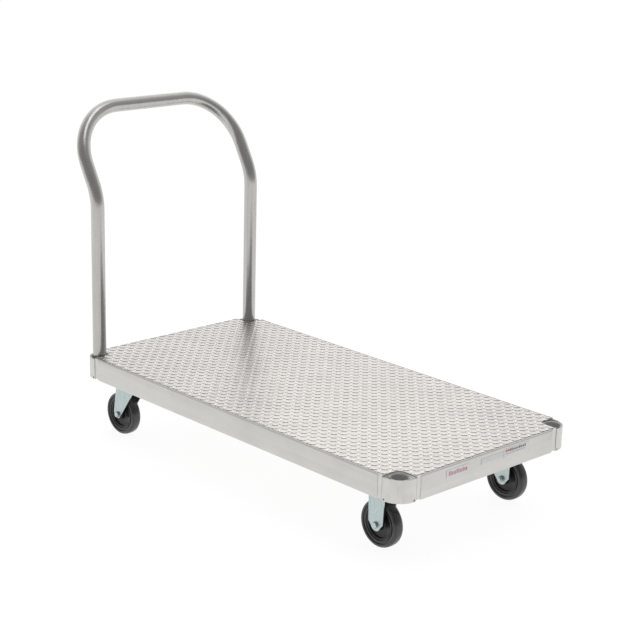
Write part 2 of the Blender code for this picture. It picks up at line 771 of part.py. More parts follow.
def bracket_section(top):
    """The fork's U-shaped section as (y, z) points, open at the bottom."""
    low = WHEEL_RADIUS - LEG_TIP_RADIUS - FORK_WALL
    outer_bend = FORK_BEND_RADIUS
    inner_bend = FORK_BEND_RADIUS - FORK_WALL
    under = top - FORK_WALL
    right_outer = arc((LEG_OUTER - outer_bend, top - outer_bend), outer_bend, 0.0, math.pi / 2, 4)
    left_outer = arc((-LEG_OUTER + outer_bend, top - outer_bend), outer_bend, math.pi / 2, math.pi, 4)
    left_inner = arc((-LEG_INNER + inner_bend, under - inner_bend), inner_bend, math.pi, math.pi / 2, 4)
    right_inner = arc((LEG_INNER - inner_bend, under - inner_bend), inner_bend, math.pi / 2, 0.0, 4)
    return [
        (LEG_OUTER, low),
        *right_outer,
        *left_outer,
        (-LEG_OUTER, low),
        (-LEG_INNER, low),
        *left_inner,
        *right_inner,
        (LEG_INNER, low),
    ]


def leg_outline(top, top_width, low_width, tip_radius, trail):
    """The leg's side outline as (x, z) points, the axle hole's centre at (-trail, wheel radius)."""
    half = top_width / 2
    low_half = low_width / 2
    shoulder = WHEEL_RADIUS + tip_radius * 0.35
    slope = math.radians(20.0)
    tip = arc((-trail, WHEEL_RADIUS), tip_radius, -slope, -math.pi + slope, 10)
    return [
        (half, top + GAP),
        (half, top - FORK_WALL),
        (-trail + low_half, shoulder),
        *tip,
        (-trail - low_half, shoulder),
        (-half, top - FORK_WALL),
        (-half, top + GAP),
    ]


def build_bracket(name, parent, top, outline, trail):
    """Intersects the U-shaped section with the side outline and bores the axle hole."""
    reach = max(abs(x) for x, _ in outline) + FORK_WALL
    mesh = outline_mesh(name, bracket_section(top), -reach, reach)
    mesh.transform(Matrix(((0, 0, 1, 0), (1, 0, 0, 0), (0, 1, 0, 0), (0, 0, 0, 1))))
    bracket = add_object(name, mesh, parent, ZINC)
    side_mesh = outline_mesh(f"{name}_side", outline, -LEG_OUTER * 2, LEG_OUTER * 2)
    side_mesh.transform(Matrix(((1, 0, 0, 0), (0, 0, -1, 0), (0, 1, 0, 0), (0, 0, 0, 1))))
    side = add_object(f"{name}_side", side_mesh, parent)
    combine(bracket, side, "INTERSECT")
    hole_mesh = cylinder_mesh(f"{name}_axle_hole", AXLE_RADIUS + GAP, -LEG_OUTER * 2, LEG_OUTER * 2)
    hole = add_object(f"{name}_axle_hole", hole_mesh, parent)
    hole.location = (-trail, 0.0, WHEEL_RADIUS)
    hole.rotation_euler = (math.pi / 2, 0.0, 0.0)
    combine(bracket, hole, "DIFFERENCE")
    return bracket


def build_rigid_caster(prefix, x, y):
    """A fixed bracket welded under its plate, the bolt head facing outboard."""
    facing = 0.0 if y < 0 else math.pi
    caster = new_empty(f"{prefix}_place", (x, y, 0.0), ROOT, facing)
    outline = leg_outline(MOUNT_UNDER, RIGID_LEG_TOP, RIGID_LEG_LOW, LEG_TIP_RADIUS, 0.0)
    plate = mount_plate(f"{prefix}_bracket", caster)
    legs = build_bracket(f"{prefix}_legs", caster, MOUNT_UNDER + GAP, outline, 0.0)
    move_to_cutters(legs)
    combine(plate, legs, "UNION")
    axle = new_empty(f"{prefix}_axle", (0.0, 0.0, WHEEL_RADIUS), caster)
    build_axle(prefix, axle)
    build_wheel(prefix, axle)


def move_to_cutters(obj):
    PARTS.objects.unlink(obj)
    CUTTERS.objects.link(obj)
    obj.hide_render = True
    obj.display_type = "WIRE"


def race_profile():
    """The upper ball race under the top plate."""
    top = MOUNT_UNDER - GAP
    low = SWIVEL_CROWN_TOP + GAP
    waist = (top + low) / 2
    return [
        (RACE_BORE_RADIUS, top),
        (RACE_RADIUS * 0.82, top),
        (RACE_RADIUS, waist),
        (RACE_RADIUS, low),
        (RACE_BORE_RADIUS, low),
    ]


def cup_profile():
    """The dished lower race that closes the fork crown from below."""
    top = SWIVEL_CROWN_UNDER - GAP
    low = top - CUP_HEIGHT
    return [
        (KINGPIN_RADIUS + GAP, top),
        (CUP_RADIUS, top),
        (CUP_RADIUS - CUP_HEIGHT / 2, low),
        (KINGPIN_RADIUS + GAP, low),
    ]


def kingpin_profile():
    cup_low = SWIVEL_CROWN_UNDER - GAP - CUP_HEIGHT
    head_top = cup_low - GAP
    return [
        (0.0, MOUNT_UNDER - GAP),
        (KINGPIN_RADIUS, MOUNT_UNDER - GAP),
        (KINGPIN_RADIUS, head_top),
        (KINGPIN_HEAD_RADIUS, head_top),
        (KINGPIN_HEAD_RADIUS, head_top - KINGPIN_HEAD_HEIGHT * 0.6),
        (KINGPIN_HEAD_RADIUS * 0.7, head_top - KINGPIN_HEAD_HEIGHT),
        (0.0, head_top - KINGPIN_HEAD_HEIGHT),
    ]


def build_swivel_caster(prefix, x, y):
    """A fork that turns on a kingpin under its plate, the wheel trailing behind the kingpin."""
    facing = 0.0 if y < 0 else math.pi
    place = new_empty(f"{prefix}_place", (x, y, 0.0), ROOT)
    mount_plate(f"{prefix}_top_plate", place)
    turned(f"{prefix}_kingpin", kingpin_profile(), place, ZINC, SMALL_STEPS, False)
    turned(f"{prefix}_upper_race", race_profile(), place, ZINC, WHEEL_STEPS, True)
    swivel = new_empty(f"{prefix}_swivel", (0.0, 0.0, 0.0), place, SWIVEL_TURN)
    turned(f"{prefix}_lower_race", cup_profile(), swivel, ZINC, SMALL_STEPS, True)
    outline = leg_outline(SWIVEL_CROWN_TOP, SWIVEL_LEG_TOP, SWIVEL_LEG_LOW, SWIVEL_TIP_RADIUS, SWIVEL_TRAIL)
    fork = build_bracket(f"{prefix}_fork", swivel, SWIVEL_CROWN_TOP, outline, SWIVEL_TRAIL)
    mesh = cylinder_mesh(f"{prefix}_king_hole", KINGPIN_RADIUS + GAP, WHEEL_RADIUS, MOUNT_TOP)
    combine(fork, add_object(f"{prefix}_king_hole", mesh, swivel), "DIFFERENCE")
    axle = new_empty(f"{prefix}_axle", (-SWIVEL_TRAIL, 0.0, WHEEL_RADIUS), swivel, facing)
    build_axle(prefix, axle)
    build_wheel(prefix, axle)


def build_casters():
    build_rigid_caster("front_right", CASTER_X, -RIGID_Y)
    build_rigid_caster("front_left", CASTER_X, RIGID_Y)
    build_swivel_caster("rear_right", -CASTER_X, -SWIVEL_Y)
    build_swivel_caster("rear_left", -CASTER_X, SWIVEL_Y)


# ------------------------------------------------------------------ labels


def build_label(name, y, width, height, drop):
    """A thin sheet on the front rail's face, its middle this far below the deck's top."""
    middle = DECK_TOP - drop
    low = (HALF_LENGTH + GAP, y - width / 2, middle - height / 2)
    high = (LABEL_FRONT, y + width / 2, middle + height / 2)
    add_object(name, box_mesh(name, low, high), ROOT, LABEL_WHITE)


def build_labels():
    build_label("label_small", SMALL_LABEL_Y, SMALL_LABEL_WIDTH, SMALL_LABEL_HEIGHT, SMALL_LABEL_DROP)
    build_label("label_clear", CLEAR_LABEL_Y, CLEAR_LABEL_WIDTH, CLEAR_LABEL_HEIGHT, CLEAR_LABEL_DROP)
    build_label("label_marked", MARKED_LABEL_Y, MARKED_LABEL_WIDTH, MARKED_LABEL_HEIGHT, MARKED_LABEL_DROP)


build_deck()
build_rails()
build_corners()
build_cross_members()
build_caster_channels()
build_handle()
build_casters()
build_labels()
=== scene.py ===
"""Looks for the platform cart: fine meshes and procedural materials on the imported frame."""

import json
import math
import random

import bmesh
import bpy
from mathutils import Matrix, Vector

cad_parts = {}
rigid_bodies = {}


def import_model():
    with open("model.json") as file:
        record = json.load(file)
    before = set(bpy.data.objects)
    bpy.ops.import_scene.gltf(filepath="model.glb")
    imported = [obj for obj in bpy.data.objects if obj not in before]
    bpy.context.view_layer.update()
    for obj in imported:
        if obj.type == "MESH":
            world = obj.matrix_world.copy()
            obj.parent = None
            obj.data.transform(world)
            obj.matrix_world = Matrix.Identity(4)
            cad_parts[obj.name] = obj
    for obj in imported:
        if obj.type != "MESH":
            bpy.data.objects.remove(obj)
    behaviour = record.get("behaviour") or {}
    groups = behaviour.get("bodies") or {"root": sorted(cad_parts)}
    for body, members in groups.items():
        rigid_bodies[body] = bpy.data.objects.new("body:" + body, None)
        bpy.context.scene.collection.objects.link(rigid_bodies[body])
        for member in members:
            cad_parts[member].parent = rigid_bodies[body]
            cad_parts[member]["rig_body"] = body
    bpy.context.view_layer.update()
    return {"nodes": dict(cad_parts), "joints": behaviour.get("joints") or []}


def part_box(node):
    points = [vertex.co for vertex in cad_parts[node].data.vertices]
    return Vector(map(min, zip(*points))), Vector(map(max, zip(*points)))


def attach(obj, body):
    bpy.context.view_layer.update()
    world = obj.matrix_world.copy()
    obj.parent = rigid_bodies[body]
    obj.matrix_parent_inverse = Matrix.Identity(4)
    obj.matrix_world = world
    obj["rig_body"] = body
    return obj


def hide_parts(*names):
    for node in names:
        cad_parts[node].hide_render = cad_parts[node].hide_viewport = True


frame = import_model()
NODES = frame["nodes"]
JOINTS = {joint["name"]: joint for joint in frame["joints"]}
random.seed(7)

PLATE_LOW, PLATE_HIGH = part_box("deck_plate")
CENTRE_X = (PLATE_LOW.x + PLATE_HIGH.x) / 2
DECK_TOP = PLATE_HIGH.z

# Smoothing and edge rounding
SHARP_ANGLE = math.radians(32.0)
LATHE_SHARP = math.radians(38.0)
ROUND_SHARP = math.radians(50.0)
WELD_SHARP = math.radians(60.0)
WELD_VERTS = 1e-5
WELD_TURNED = 1e-7
FLAT_ANGLE = math.radians(0.6)
ROUND_SEGMENTS = 2
RAIL_ROUNDING = 0.0007
PLATE_ROUNDING = 0.0005
SMALL_ROUNDING = 0.0004
BOLT_ROUNDING = 0.0006

# Tread pattern
TREAD_PITCH = 0.01714
LUG_LENGTH = 0.0155
LUG_WIDTH = 0.0056
LUG_HEIGHT = 0.0013
LUG_SIDES = 10
LUG_NARROWING = 0.25
LUG_TURN = 45.0
LUG_RINGS = ((1.0, -0.25), (1.0, 0.05), (0.86, 0.62), (0.66, 0.88), (0.34, 1.0))
NOTCH_SIDE = 0.0497
PLATE_SHRINK = 0.0006
LUG_TRIM = 0.0004

# Wheels
WHEEL_RADIUS = 0.0592
TYRE_BASE = 0.0395
TREAD_HALF = 0.0145
TYRE_STEPS = 112
CORE_GAP = 0.0003
CORE_STEPS = 96
HUB_HALF = 0.0175
HUB_RADIUS = 0.0165
HUB_BORE = 0.0073
WEB_HALF = 0.0050
RIM_HALF = 0.0101

# Corner sockets
SOCKET_INSET = 0.0327
SOCKET_BORE = 0.0203
RIM_DROP = 0.0040
MOUTH_CHAMFER = 0.0036
NEAR = 0.0004

# Rails
RAIL_WALL = 0.0045
PLATE_INSET = 0.0058

# Caster bolts
BOLT_SPACING_X = 0.0746
BOLT_SPACING_Y = 0.0445
MOUNT_PLATE = 0.0030
BOLT_FLATS = 0.0127
BOLT_HEAD = 0.0050
CHANNEL_WALL = 0.0043
HEX_RINGS = ((1.0, 0.0), (1.0, 0.80), (0.87, 1.0))
HEX_SIDES = 6

# Welds
WELD_SIZE = 0.0026
WELD_STEP = 0.0016
WELD_SIDES = 5
WELD_VALLEY = 0.82
WELD_TAPER = 0.35
WELD_CROWN = 0.12
WELD_SINK = 0.25
WELD_FOOT = 0.0045
WELD_TOP_GAP = 0.0020
DECK_SKIN = 0.0036

# Labels
PRINT_PROUD = 0.00006

# Handle tube
TUBE_RADIUS = 0.0184
TUBE_WALL = 0.0025
LEAN_START = 0.6260
LEAN_ANGLE = math.radians(30.0)
LEAN_RADIUS = 0.1400
LEAN_TO_TOP = 0.2848
TOP_BEND_RADIUS = 0.1556
TUBE_SIDES = 48
LEAN_STEPS = 10
TOP_STEPS = 24

# Camera, solved for the cart's centre
LENS = 91.026
CAMERA_DISTANCE = 5.2630
CAMERA_AZIMUTH = 0.810290
CAMERA_ELEVATION = 0.286422
CAMERA_ROLL = 0.026537
CAMERA_TARGET = (-0.737673, 0.716906, 0.1)
SENSOR_WIDTH = 36.0
CAMERA_REACH = 100.0

# Studio: bright wall behind the cart, dim room on the camera's side, glowing floor
STUDIO_RAMP = ((0.0, 0.96), (0.25, 0.84), (0.42, 0.45), (0.60, 0.30), (1.0, 0.23))
STUDIO_STRENGTH = 1.2
FLOOR_GLOW = 0.92
FLOOR_HALF = 30.0
LIGHT_TARGET = (CENTRE_X, 0.0, 0.2)
KEY_PLACE, KEY_SIZE, KEY_POWER = (CENTRE_X - 2.6, 2.6, 2.2), (1.6, 0.8), 2.4
FILL_PLACE, FILL_SIZE, FILL_POWER = (CENTRE_X + 0.2, 0.2, 4.5), (3.0, 2.0), 22.0


# ---------------------------------------------------------------- materials


class Graph:
    """Shorthand for building one material's nodes."""

    def __init__(self, name):
        self.material = bpy.data.materials.new(name)
        self.material.use_nodes = True
        self.tree = self.material.node_tree
        self.shader = self.tree.nodes["Principled BSDF"]

    def node(self, kind, **settings):
        made = self.tree.nodes.new(kind)
        for key, value in settings.items():
            setattr(made, key, value)
        return made

    def link(self, source, target):
        self.tree.links.new(source, target)

    def coordinates(self, scale=(1.0, 1.0, 1.0)):
        place = self.node("ShaderNodeTexCoord")
        mapping = self.node("ShaderNodeMapping")
        mapping.inputs["Scale"].default_value = scale
        self.link(place.outputs["Object"], mapping.inputs["Vector"])
        return mapping.outputs["Vector"]

    def noise(self, vector, scale, detail=3.0, roughness=0.55):
        made = self.node("ShaderNodeTexNoise")
        made.inputs["Scale"].default_value = scale
        made.inputs["Detail"].default_value = detail
        made.inputs["Roughness"].default_value = roughness
        self.link(vector, made.inputs["Vector"])
        return made.outputs["Fac"]

    def ramp(self, value, stops):
        made = self.node("ShaderNodeValToRGB")
        elements = made.color_ramp.elements
        while len(elements) < len(stops):
            elements.new(0.5)
        for element, (place, colour) in zip(elements, stops):
            element.position = place
            element.color = (*colour, 1.0)
        self.link(value, made.inputs["Fac"])
        return made.outputs["Color"]

    def spread(self, value, low, high, start=0.3, end=0.7):
        made = self.node("ShaderNodeMapRange")
        made.inputs["From Min"].default_value = start
        made.inputs["From Max"].default_value = end
        made.inputs["To Min"].default_value = low
        made.inputs["To Max"].default_value = high
        self.link(value, made.inputs["Value"])
        return made.outputs["Result"]

    def mix(self, factor, first, second, blend="MIX"):
        made = self.node("ShaderNodeMix", data_type="RGBA", blend_type=blend)
        if isinstance(factor, float):
            made.inputs["Factor"].default_value = factor
        else:
            self.link(factor, made.inputs["Factor"])
        for socket, value in ((made.inputs["A"], first), (made.inputs["B"], second)):
            if isinstance(value, tuple):
                socket.default_value = (*value, 1.0)
            else:
                self.link(value, socket)
        return made.outputs["Result"]

    def bump(self, height, strength, distance):
        made = self.node("ShaderNodeBump")
        made.inputs["Strength"].default_value = strength
        made.inputs["Distance"].default_value = distance
        self.link(height, made.inputs["Height"])
        return made.outputs["Normal"]

    def set(self, **values):
        names = {
            "colour": "Base Color",
            "roughness": "Roughness",
            "metallic": "Metallic",
            "normal": "Normal",
            "specular": "Specular IOR Level",
        }
        for key, value in values.items():
            socket = self.shader.inputs[names[key]]
            if isinstance(value, bpy.types.NodeSocket):
                self.link(value, socket)
            elif isinstance(value, tuple):
                socket.default_value = (*value, 1.0)
            else:
                socket.default_value = value
        return self.material


def grained_metal(name, light, dark, roughness, stretch, bump=0.10):
    """Metal with a drawn or brushed grain, faint cloudy stains and fine scratches."""
    graph = Graph(name)
    grain_place = graph.coordinates(stretch)
    grain = graph.noise(grain_place, 900.0, 2.0, 0.6)
    broad = graph.noise(grain_place, 60.0, 4.0, 0.6)
    cloud = graph.noise(graph.coordinates(), 7.0, 4.0, 0.6)
    base = graph.mix(graph.spread(broad, 0.0, 1.0, 0.25, 0.75), dark, light)
    stain = graph.ramp(cloud, ((0.30, (0.93, 0.93, 0.92)), (0.62, (1.0, 1.0, 1.0))))
    colour = graph.mix(1.0, base, stain, "MULTIPLY")
    rough = graph.spread(grain, roughness - 0.06, roughness + 0.08)
    normal = graph.bump(grain, bump, 0.0004)
    return graph.set(colour=colour, roughness=rough, metallic=1.0, normal=normal)


def tread_metal(name, light, dark, roughness):
    """Mill-finish tread plate: faint rolling lines, small scuffs and dull patches."""
    graph = Graph(name)
    place = graph.coordinates()
    rolling = graph.noise(graph.coordinates((1.0, 14.0, 1.0)), 45.0, 3.0, 0.6)
    cloud = graph.noise(place, 9.0, 5.0, 0.62)
    speck = graph.noise(place, 520.0, 2.0, 0.5)
    base = graph.mix(graph.spread(cloud, 0.0, 1.0, 0.32, 0.68), dark, light)
    streak = graph.ramp(rolling, ((0.32, (0.94, 0.94, 0.935)), (0.60, (1.0, 1.0, 1.0))))
    colour = graph.mix(1.0, base, streak, "MULTIPLY")
    rough = graph.spread(speck, roughness - 0.05, roughness + 0.09)
    normal = graph.bump(speck, 0.10, 0.0003)
    return graph.set(colour=colour, roughness=rough, metallic=1.0, normal=normal)


def lug_metal(name, light, foot_shade, roughness):
    """Raised tread: bright worn crowns, with painted shade darkening the foot of each lug."""
    graph = Graph(name)
    place = graph.coordinates()
    parts = graph.node("ShaderNodeSeparateXYZ")
    graph.link(place, parts.inputs["Vector"])
    height = parts.outputs["Z"]
    # Painted shade: the lower flank of each lug is darkened, in patches, to stand for the shade at its
    # foot.
    foot = graph.spread(height, 0.0, 1.0, DECK_TOP + LUG_HEIGHT * 0.30, DECK_TOP + LUG_HEIGHT * 0.75)
    patch = graph.noise(place, 24.0, 4.0, 0.6)
    patchy_foot_shade = graph.mix(graph.spread(patch, 0.0, 1.0, 0.35, 0.65), foot_shade, tuple(c * 2.3 for c in foot_shade))
    colour = graph.mix(foot, patchy_foot_shade, light)
    scuff = graph.noise(place, 420.0, 2.0, 0.5)
    rough = graph.spread(scuff, roughness - 0.06, roughness + 0.08)
    normal = graph.bump(scuff, 0.08, 0.0003)
    return graph.set(colour=colour, roughness=rough, metallic=1.0, normal=normal)


def cast_metal(name, light, dark, roughness, metallic=1.0):
    """Cast aluminium: fine pebbled skin with shallow tool marks."""
    graph = Graph(name)
    place = graph.coordinates()
    pebble = graph.noise(place, 700.0, 2.0, 0.5)
    cloud = graph.noise(place, 26.0, 4.0, 0.6)
    draw = graph.noise(graph.coordinates((1.0, 1.0, 0.05)), 240.0, 2.0, 0.5)
    base = graph.mix(graph.spread(cloud, 0.0, 1.0, 0.3, 0.7), dark, light)
    lines = graph.ramp(draw, ((0.30, (0.95, 0.95, 0.945)), (0.65, (1.0, 1.0, 1.0))))
    colour = graph.mix(1.0, base, lines, "MULTIPLY")
    rough = graph.spread(pebble, roughness - 0.05, roughness + 0.07)
    normal = graph.bump(pebble, 0.14, 0.0004)
    return graph.set(colour=colour, roughness=rough, metallic=metallic, normal=normal)


def zinc(name):
    """Bright zinc plating: bluish grey with a fine crystal mottle and faint yellowing."""
    graph = Graph(name)
    place = graph.coordinates()
    cells = graph.node("ShaderNodeTexVoronoi", feature="F1")
    cells.inputs["Scale"].default_value = 260.0
    graph.link(place, cells.inputs["Vector"])
    mottle = graph.spread(cells.outputs["Distance"], 0.0, 1.0, 0.1, 0.7)
    cloud = graph.noise(place, 38.0, 4.0, 0.6)
    lines = graph.noise(graph.coordinates((1.0, 1.0, 0.03)), 700.0, 3.0, 0.6)
    base = graph.mix(mottle, (0.60, 0.665, 0.66), (0.50, 0.575, 0.58))
    tint = graph.ramp(cloud, ((0.36, (0.93, 0.95, 0.93)), (0.60, (1.0, 1.0, 1.0))))
    drawn = graph.ramp(lines, ((0.34, (0.86, 0.87, 0.87)), (0.58, (1.0, 1.0, 1.0))))
    tinted = graph.mix(1.0, base, tint, "MULTIPLY")
    colour = graph.mix(1.0, tinted, drawn, "MULTIPLY")
    rough = graph.spread(cloud, 0.26, 0.40)
    normal = graph.bump(mottle, 0.05, 0.0003)
    return graph.set(colour=colour, roughness=rough, metallic=1.0, normal=normal)


def rubber(name, light, dark, roughness, gloss):
    """Moulded black rubber or plastic: faint bloom, dust and a fine skin texture."""
    graph = Graph(name)
    place = graph.coordinates()
    bloom = graph.noise(place, 34.0, 5.0, 0.65)
    bands = graph.noise(graph.coordinates((0.10, 0.10, 1.0)), 420.0, 2.0, 0.5)
    skin = graph.noise(place, 900.0, 2.0, 0.5)
    colour = graph.mix(graph.spread(bloom, 0.0, 1.0, 0.3, 0.7), dark, light)
    rough = graph.spread(bands, roughness - 0.14, roughness + 0.14)
    normal = graph.bump(skin, 0.12, 0.0003)
    return graph.set(colour=colour, roughness=rough, metallic=0.0, normal=normal, specular=gloss)


def sticker(name, paper):
    """Plain label film: slightly uneven, soft gloss."""
    graph = Graph(name)
    fibre = graph.noise(graph.coordinates(), 160.0, 3.0, 0.6)
    colour = graph.mix(graph.spread(fibre, 0.0, 1.0), paper, tuple(c * 0.965 for c in paper))
    rough = graph.spread(fibre, 0.34, 0.46)
    return graph.set(colour=colour, roughness=rough, metallic=0.0, normal=graph.bump(fibre, 0.04, 0.0002))


ALONG_X = (0.012, 1.0, 1.0)
ALONG_Y = (1.0, 0.012, 1.0)
ALONG_Z = (1.0, 1.0, 0.02)
RAIL_LIGHT, RAIL_DARK = (0.69, 0.68, 0.655), (0.62, 0.61, 0.585)
CROSS_LIGHT, CROSS_DARK = (0.60, 0.595, 0.58), (0.50, 0.495, 0.48)
TUBE_LIGHT, TUBE_DARK = (0.56, 0.555, 0.54), (0.48, 0.475, 0.46)

DECK_METAL = tread_metal("tread_plate", (0.68, 0.66, 0.63), (0.59, 0.572, 0.545), 0.34)
# The second, dark colour is painted shade round the foot of each lug.
LUG_METAL = lug_metal("tread_lugs", (0.78, 0.765, 0.735), (0.17, 0.16, 0.15), 0.24)
RAIL_METAL = grained_metal("extruded_rail", RAIL_LIGHT, RAIL_DARK, 0.40, ALONG_X)
END_METAL = grained_metal("extruded_end_rail", RAIL_LIGHT, RAIL_DARK, 0.40, ALONG_Y)
CROSS_METAL = grained_metal("cross_channel", CROSS_LIGHT, CROSS_DARK, 0.44, ALONG_Y)
CAST_METAL = cast_metal("corner_casting", (0.71, 0.70, 0.675), (0.63, 0.62, 0.595), 0.42)
BORE_METAL = cast_metal("socket_bore", (0.62, 0.62, 0.60), (0.50, 0.50, 0.485), 0.46, 0.25)
WELD_METAL = cast_metal("weld_bead", (0.62, 0.62, 0.61), (0.42, 0.42, 0.41), 0.34)
TUBE_METAL = grained_metal("handle_tube_metal", TUBE_LIGHT, TUBE_DARK, 0.24, ALONG_Z, 0.08)
ZINC_METAL = zinc("zinc_plating")
RUBBER = rubber("tyre_rubber", (0.040, 0.040, 0.041), (0.013, 0.013, 0.013), 0.32, 0.70)
CORE_PLASTIC = rubber("wheel_core_plastic", (0.014, 0.014, 0.015), (0.006, 0.006, 0.007), 0.36, 0.45)
LABEL_FILM = sticker("label_film", (0.82, 0.82, 0.805))
CLEAR_FILM = sticker("label_clear_film", (0.74, 0.76, 0.75))
INK_DARK = sticker("label_ink_dark", (0.10, 0.10, 0.10))
INK_RED = sticker("label_ink_red", (0.52, 0.17, 0.18))


# ------------------------------------------------------------------ meshes


def add_piece(name, mesh, material, body, replaces=()):
    """A mesh as a named object, riding on a body and standing for the CAD nodes it replaces."""
    obj = bpy.data.objects.new(name, mesh)
    bpy.context.scene.collection.objects.link(obj)
    mesh.materials.clear()
    mesh.materials.append(material)
    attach(obj, body)
    if replaces:
        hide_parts(*replaces)
    return obj


def mesh_of(name, vertices, faces, smooth_angle=SHARP_ANGLE):
    mesh = bpy.data.meshes.new(name)
    mesh.from_pydata(vertices, [], faces)
    mesh.validate()
    mesh.shade_smooth()
    mesh.set_sharp_from_angle(angle=smooth_angle)
    return mesh


def clean_copy(node):
    """The CAD node's own shape with its flat faces made whole again."""
    bm = bmesh.new()
    bm.from_mesh(NODES[node].data)
    bmesh.ops.remove_doubles(bm, verts=bm.verts, dist=WELD_VERTS)
    bmesh.ops.dissolve_limit(bm, angle_limit=FLAT_ANGLE, verts=bm.verts, edges=bm.edges)
    bm.verts.index_update()
    vertices = [vertex.co.copy() for vertex in bm.verts]
    faces = [[vertex.index for vertex in face.verts] for face in bm.faces]
    bm.free()
    return vertices, faces


def soften(node, material, width):
    """The node's shape with rounded edges, standing for it."""
    vertices, faces = clean_copy(node)
    mesh = mesh_of(node + "_fine", vertices, faces)
    obj = add_piece(node + "_fine", mesh, material, NODES[node]["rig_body"], replaces=(node,))
    bevel = obj.modifiers.new("edges", "BEVEL")
    bevel.width = width
    bevel.segments = ROUND_SEGMENTS
    bevel.limit_method = "ANGLE"
    bevel.angle_limit = SHARP_ANGLE
    bevel.use_clamp_overlap = True
    bevel.harden_normals = False
    return obj


def lathe(name, profile, steps):
    """A closed profile of (radius, height) points turned about Z."""
    vertices = []
    for step in range(steps):
        angle = 2 * math.pi * step / steps
        for radius, height in profile:
            vertices.append((radius * math.cos(angle), radius * math.sin(angle), height))
    count = len(profile)
    faces = []
    for step in range(steps):
        following = (step + 1) % steps
        for i in range(count):
            j = (i + 1) % count
            faces.append((step * count + i, following * count + i, following * count + j, step * count + j))
    mesh = mesh_of(name, vertices, faces, LATHE_SHARP)
    bm = bmesh.new()
    bm.from_mesh(mesh)
    bmesh.ops.remove_doubles(bm, verts=bm.verts, dist=WELD_TURNED)
    bmesh.ops.recalc_face_normals(bm, faces=bm.faces)
    bm.to_mesh(mesh)
    bm.free()
    return mesh


def arc(centre, radius, start, end, steps):
    """Points along a flat arc, both ends included."""
    return [
        (
            centre[0] + radius * math.cos(start + (end - start) * i / steps),
            centre[1] + radius * math.sin(start + (end - start) * i / steps),
        )
        for i in range(steps + 1)
    ]


# -------------------------------------------------------------------- deck


def lug_template():
    """Rings of a long pointed lug along +X: foot below the plate, steep flank, rounded crown."""
    half = LUG_LENGTH / 2
    rings = []
    for share, rise in ((share, part * LUG_HEIGHT) for share, part in LUG_RINGS):
        ring = []
        for k in range(LUG_SIDES):
            angle = 2 * math.pi * k / LUG_SIDES
            along = math.cos(angle)
            across = math.sin(angle) * (1 - LUG_NARROWING * along * along)
            length = half * (share * 0.5 + 0.5) if share < 1.0 else half
            ring.append((along * length, across * LUG_WIDTH / 2 * share, rise))
        rings.append(ring)
    return rings


def tread_lugs():
    """Lugs over the whole plate, turned one way and the other in a checker, clear of the notches."""
    rings = lug_template()
    ring_size = len(rings[0])
    vertices, faces = [], []
    across_x = round((PLATE_HIGH.x - PLATE_LOW.x) / TREAD_PITCH) + 1
    across_y = round((PLATE_HIGH.y - PLATE_LOW.y) / TREAD_PITCH) + 1
    cut_x = (PLATE_HIGH.x - PLATE_LOW.x) / 2 - NOTCH_SIDE
    cut_y = (PLATE_HIGH.y - PLATE_LOW.y) / 2 - NOTCH_SIDE
    reach = LUG_LENGTH / 2 * math.sqrt(0.5)
    for i in range(-across_x // 2, across_x // 2 + 1):
        for j in range(-across_y // 2, across_y // 2 + 1):
            x, y = i * TREAD_PITCH, j * TREAD_PITCH
            if abs(x) > cut_x - reach and abs(y) > cut_y - reach:
                continue
            turn = math.radians(LUG_TURN if (i + j) % 2 else -LUG_TURN)
            cosine, sine = math.cos(turn), math.sin(turn)
            start = len(vertices)
            for ring in rings:
                for px, py, pz in ring:
                    vertices.append(
                        (CENTRE_X + x + px * cosine - py * sine, y + px * sine + py * cosine, DECK_TOP + pz)
                    )
            for level in range(len(rings) - 1):
                low = start + level * ring_size
                high = low + ring_size
                for k in range(ring_size):
                    following = (k + 1) % ring_size
                    faces.append((low + k, low + following, high + following, high + k))
            faces.append([start + ring_size - 1 - k for k in range(ring_size)])
            top = start + (len(rings) - 1) * ring_size
            faces.append([top + k for k in range(ring_size)])
    mesh = mesh_of("tread_lugs", vertices, faces, ROUND_SHARP)
    trim_to_plate(mesh)
    return mesh


def trim_to_plate(mesh):
    """Shears the lugs off flush with the plate's four straight edges."""
    bm = bmesh.new()
    bm.from_mesh(mesh)
    cuts = (
        ((PLATE_HIGH.x - LUG_TRIM, 0, 0), (1, 0, 0)),
        ((PLATE_LOW.x + LUG_TRIM, 0, 0), (-1, 0, 0)),
        ((0, PLATE_HIGH.y - LUG_TRIM, 0), (0, 1, 0)),
        ((0, PLATE_LOW.y + LUG_TRIM, 0), (0, -1, 0)),
    )
    for point, normal in cuts:
        geometry = bm.verts[:] + bm.edges[:] + bm.faces[:]
        found = bmesh.ops.bisect_plane(bm, geom=geometry, plane_co=point, plane_no=normal, clear_outer=True)
        rim = [item for item in found["geom_cut"] if isinstance(item, bmesh.types.BMEdge)]
        bmesh.ops.holes_fill(bm, edges=rim, sides=0)
    bm.to_mesh(mesh)
    bm.free()
    mesh.shade_smooth()
    mesh.set_sharp_from_angle(angle=ROUND_SHARP)


def build_deck():
    """The plate, drawn in a little from its frame, with its tread."""
    plate = soften("deck_plate", DECK_METAL, PLATE_ROUNDING)
    for vertex in plate.data.vertices:
        for axis, middle in ((0, CENTRE_X), (1, 0.0)):
            offset = vertex.co[axis] - middle
            vertex.co[axis] -= math.copysign(PLATE_SHRINK, offset)
    add_piece("tread_lugs", tread_lugs(), LUG_METAL, "platform")


# ------------------------------------------------------------------ handle


